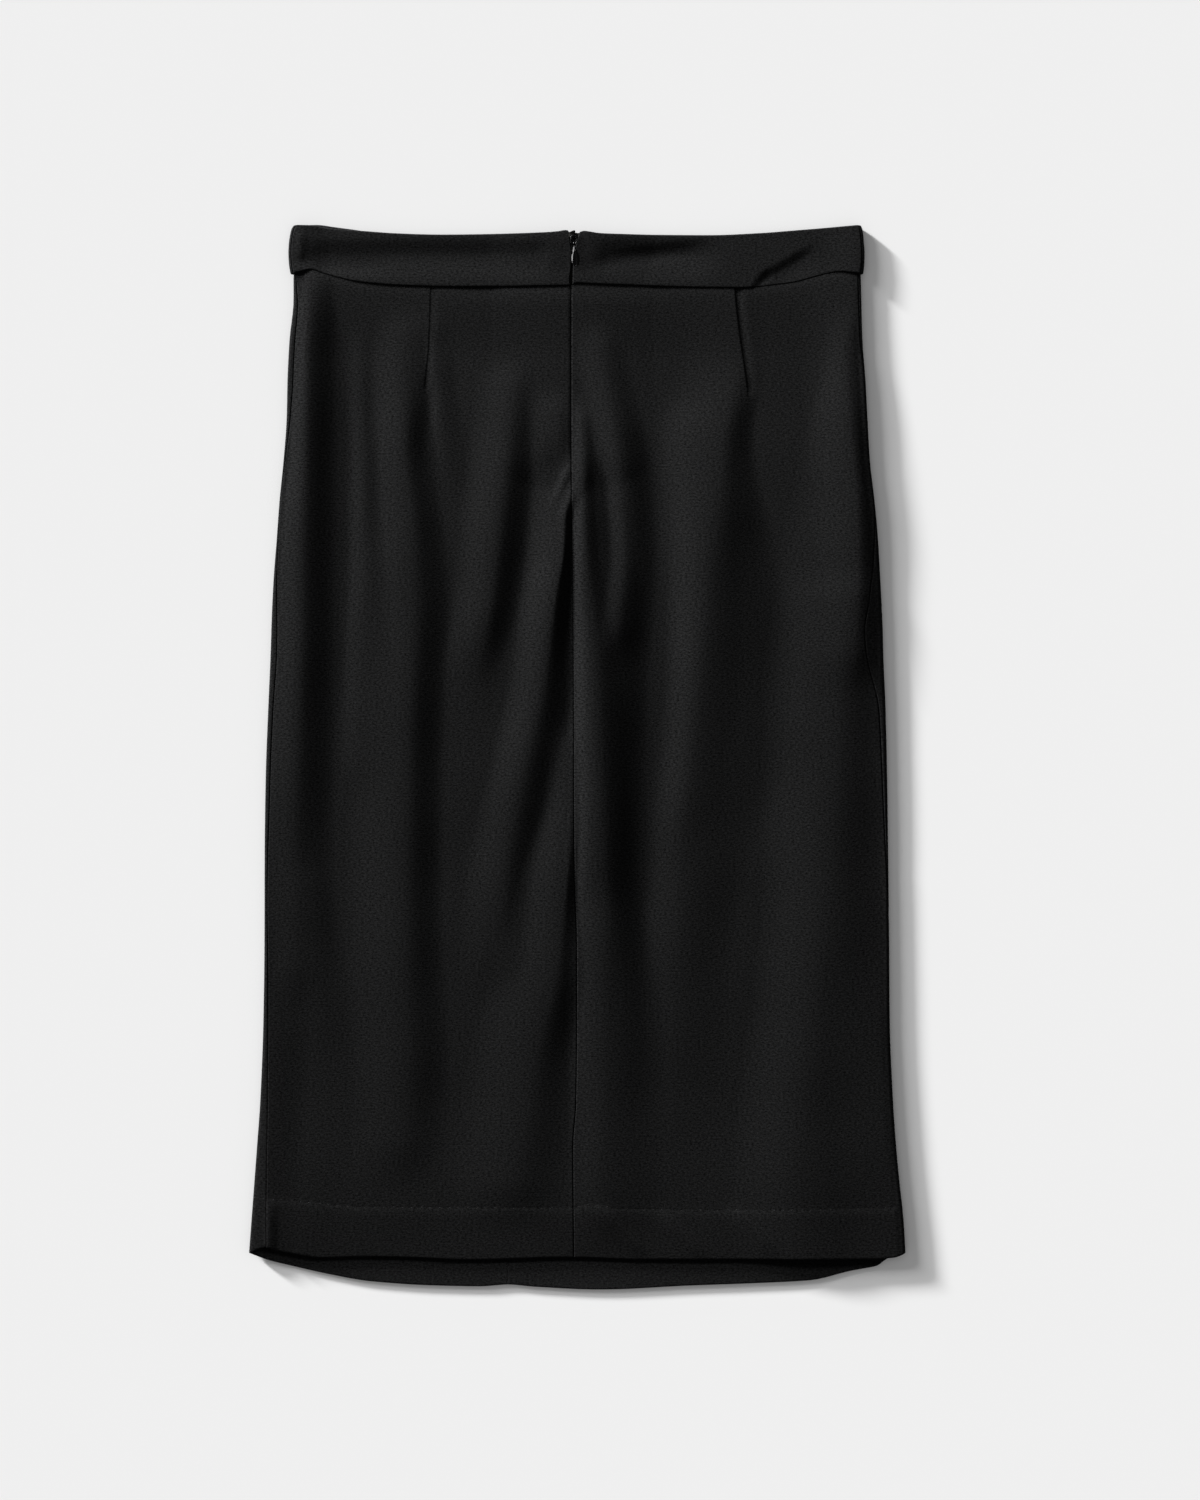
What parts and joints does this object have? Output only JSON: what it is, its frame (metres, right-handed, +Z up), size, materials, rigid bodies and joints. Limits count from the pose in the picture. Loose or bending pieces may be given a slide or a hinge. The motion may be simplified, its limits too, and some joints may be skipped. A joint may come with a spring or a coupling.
{
  "type": "pencil skirt laid flat",
  "caption": "Midi pencil skirt of plain black crepe, laid flat with its back up: straight waistband, back darts, centre seam and a concealed zip with a swinging pull.",
  "frame": {"origin": "middle of the laid skirt's outline, on the surface that it lies on", "axes": "+Y from the hem towards the waistband; +X towards the wearer's right; +Z up, out of the skirt's back"},
  "size_m": [0.4456, 0.7231, 0.0091],
  "materials": {
    "crepe": "matt black crepe with a fine grain",
    "zip_tape": "fine black woven tape",
    "zip_metal": "glossy black enamel"
  },
  "bodies": {
    "skirt": {"waistband_back_left": "crepe", "waistband_back_right": "crepe", "waistband_front": "crepe", "back_left": "crepe", "back_right": "crepe", "front_left": "crepe", "front_right": "crepe", "zip_tape": "zip_tape", "zip_slider": "zip_metal"},
    "pull": {"zip_pull": "zip_metal"}
  },
  "joints": [
    {"name": "pull_swing", "type": "hinge", "parent": "skirt", "child": "pull", "pos_m": [-0.0022, 0.348, 0.0078], "axis": [-0.9969, -0.0785, 0], "range_deg": [0, 150]}
  ]
}
